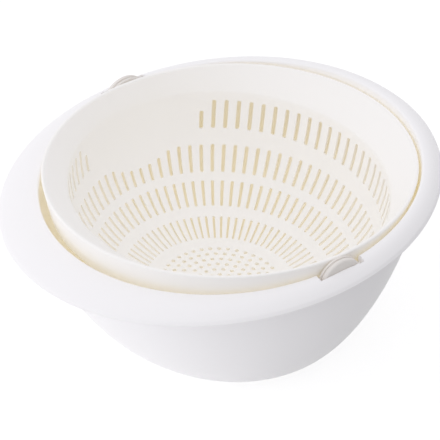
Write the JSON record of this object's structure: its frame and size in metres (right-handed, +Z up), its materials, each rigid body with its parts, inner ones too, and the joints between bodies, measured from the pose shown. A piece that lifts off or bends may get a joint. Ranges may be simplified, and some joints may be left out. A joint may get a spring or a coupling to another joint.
{
  "type": "draining basket",
  "caption": "Slotted plastic draining basket with a flared oval brim, hung on two pivot blocks so that it tilts in a wide-rimmed round bowl.",
  "frame": {"origin": "middle of the bowl's round foot, on the table", "axes": "+Z up, +X along the pivot axis towards the front pivot block, +Y towards the narrow end of the bowl's rim, so the wide pouring lip is towards -Y"},
  "size_m": [0.2374, 0.2785, 0.1217],
  "materials": {
    "bowl_plastic": "satin moulded, cool white",
    "basket_plastic": "satin moulded, warm white",
    "block_plastic": "satin moulded, pale grey white"
  },
  "bodies": {
    "bowl": {"outer_bowl": "bowl_plastic"},
    "pivot_blocks": {"pivot_block_front": "block_plastic", "pivot_block_back": "block_plastic"},
    "basket": {"drain_basket": "basket_plastic"}
  },
  "joints": [
    {"name": "lift_out", "type": "slide", "parent": "bowl", "child": "pivot_blocks", "axis": [0, 0, 1], "range_m": [0, 0.13]},
    {"name": "basket_tilt", "type": "hinge", "parent": "pivot_blocks", "child": "basket", "pos_m": [0, 0, 0.10775], "axis": [1, 0, 0], "range_deg": [0, 9]}
  ]
}
